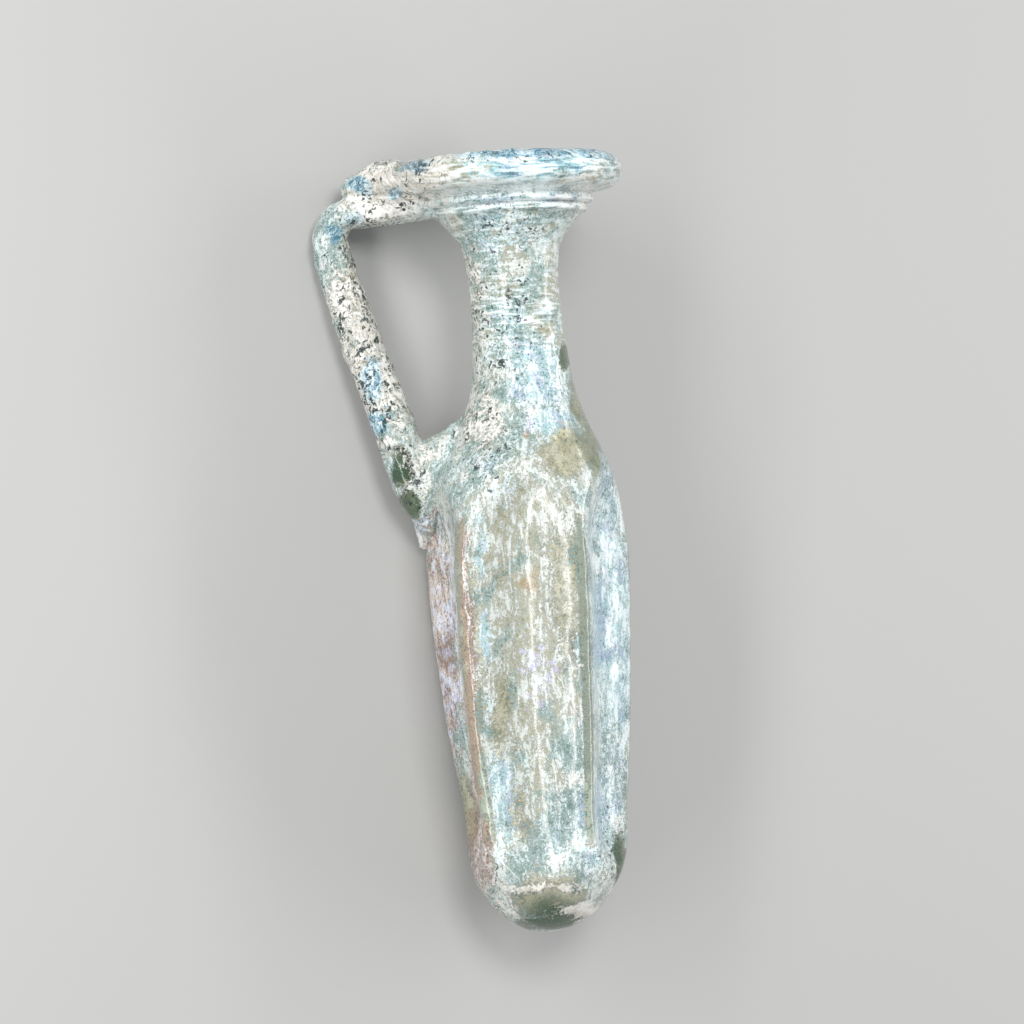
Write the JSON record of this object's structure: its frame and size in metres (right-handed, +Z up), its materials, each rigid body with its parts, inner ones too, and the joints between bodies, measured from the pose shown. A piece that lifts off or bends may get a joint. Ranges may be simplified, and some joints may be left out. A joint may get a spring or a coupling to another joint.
{
  "type": "ancient glass flask",
  "caption": "Hollow ancient glass perfume flask with a dented body, slender neck, rolled collar rim and a trailed handle with a folded thumb rest, lying on its side.",
  "frame": {"origin": "middle of the flask's bounding box, on the surface that it lies on", "axes": "+Z up, +Y along the flask's length towards its mouth, handle towards -X"},
  "size_m": [0.0604, 0.1642, 0.048],
  "materials": {
    "weathered_glass": "pale blue-green glass under silvery blue iridescence and cream crust"
  },
  "bodies": {
    "root": {"flask": "weathered_glass"}
  },
  "joints": []
}
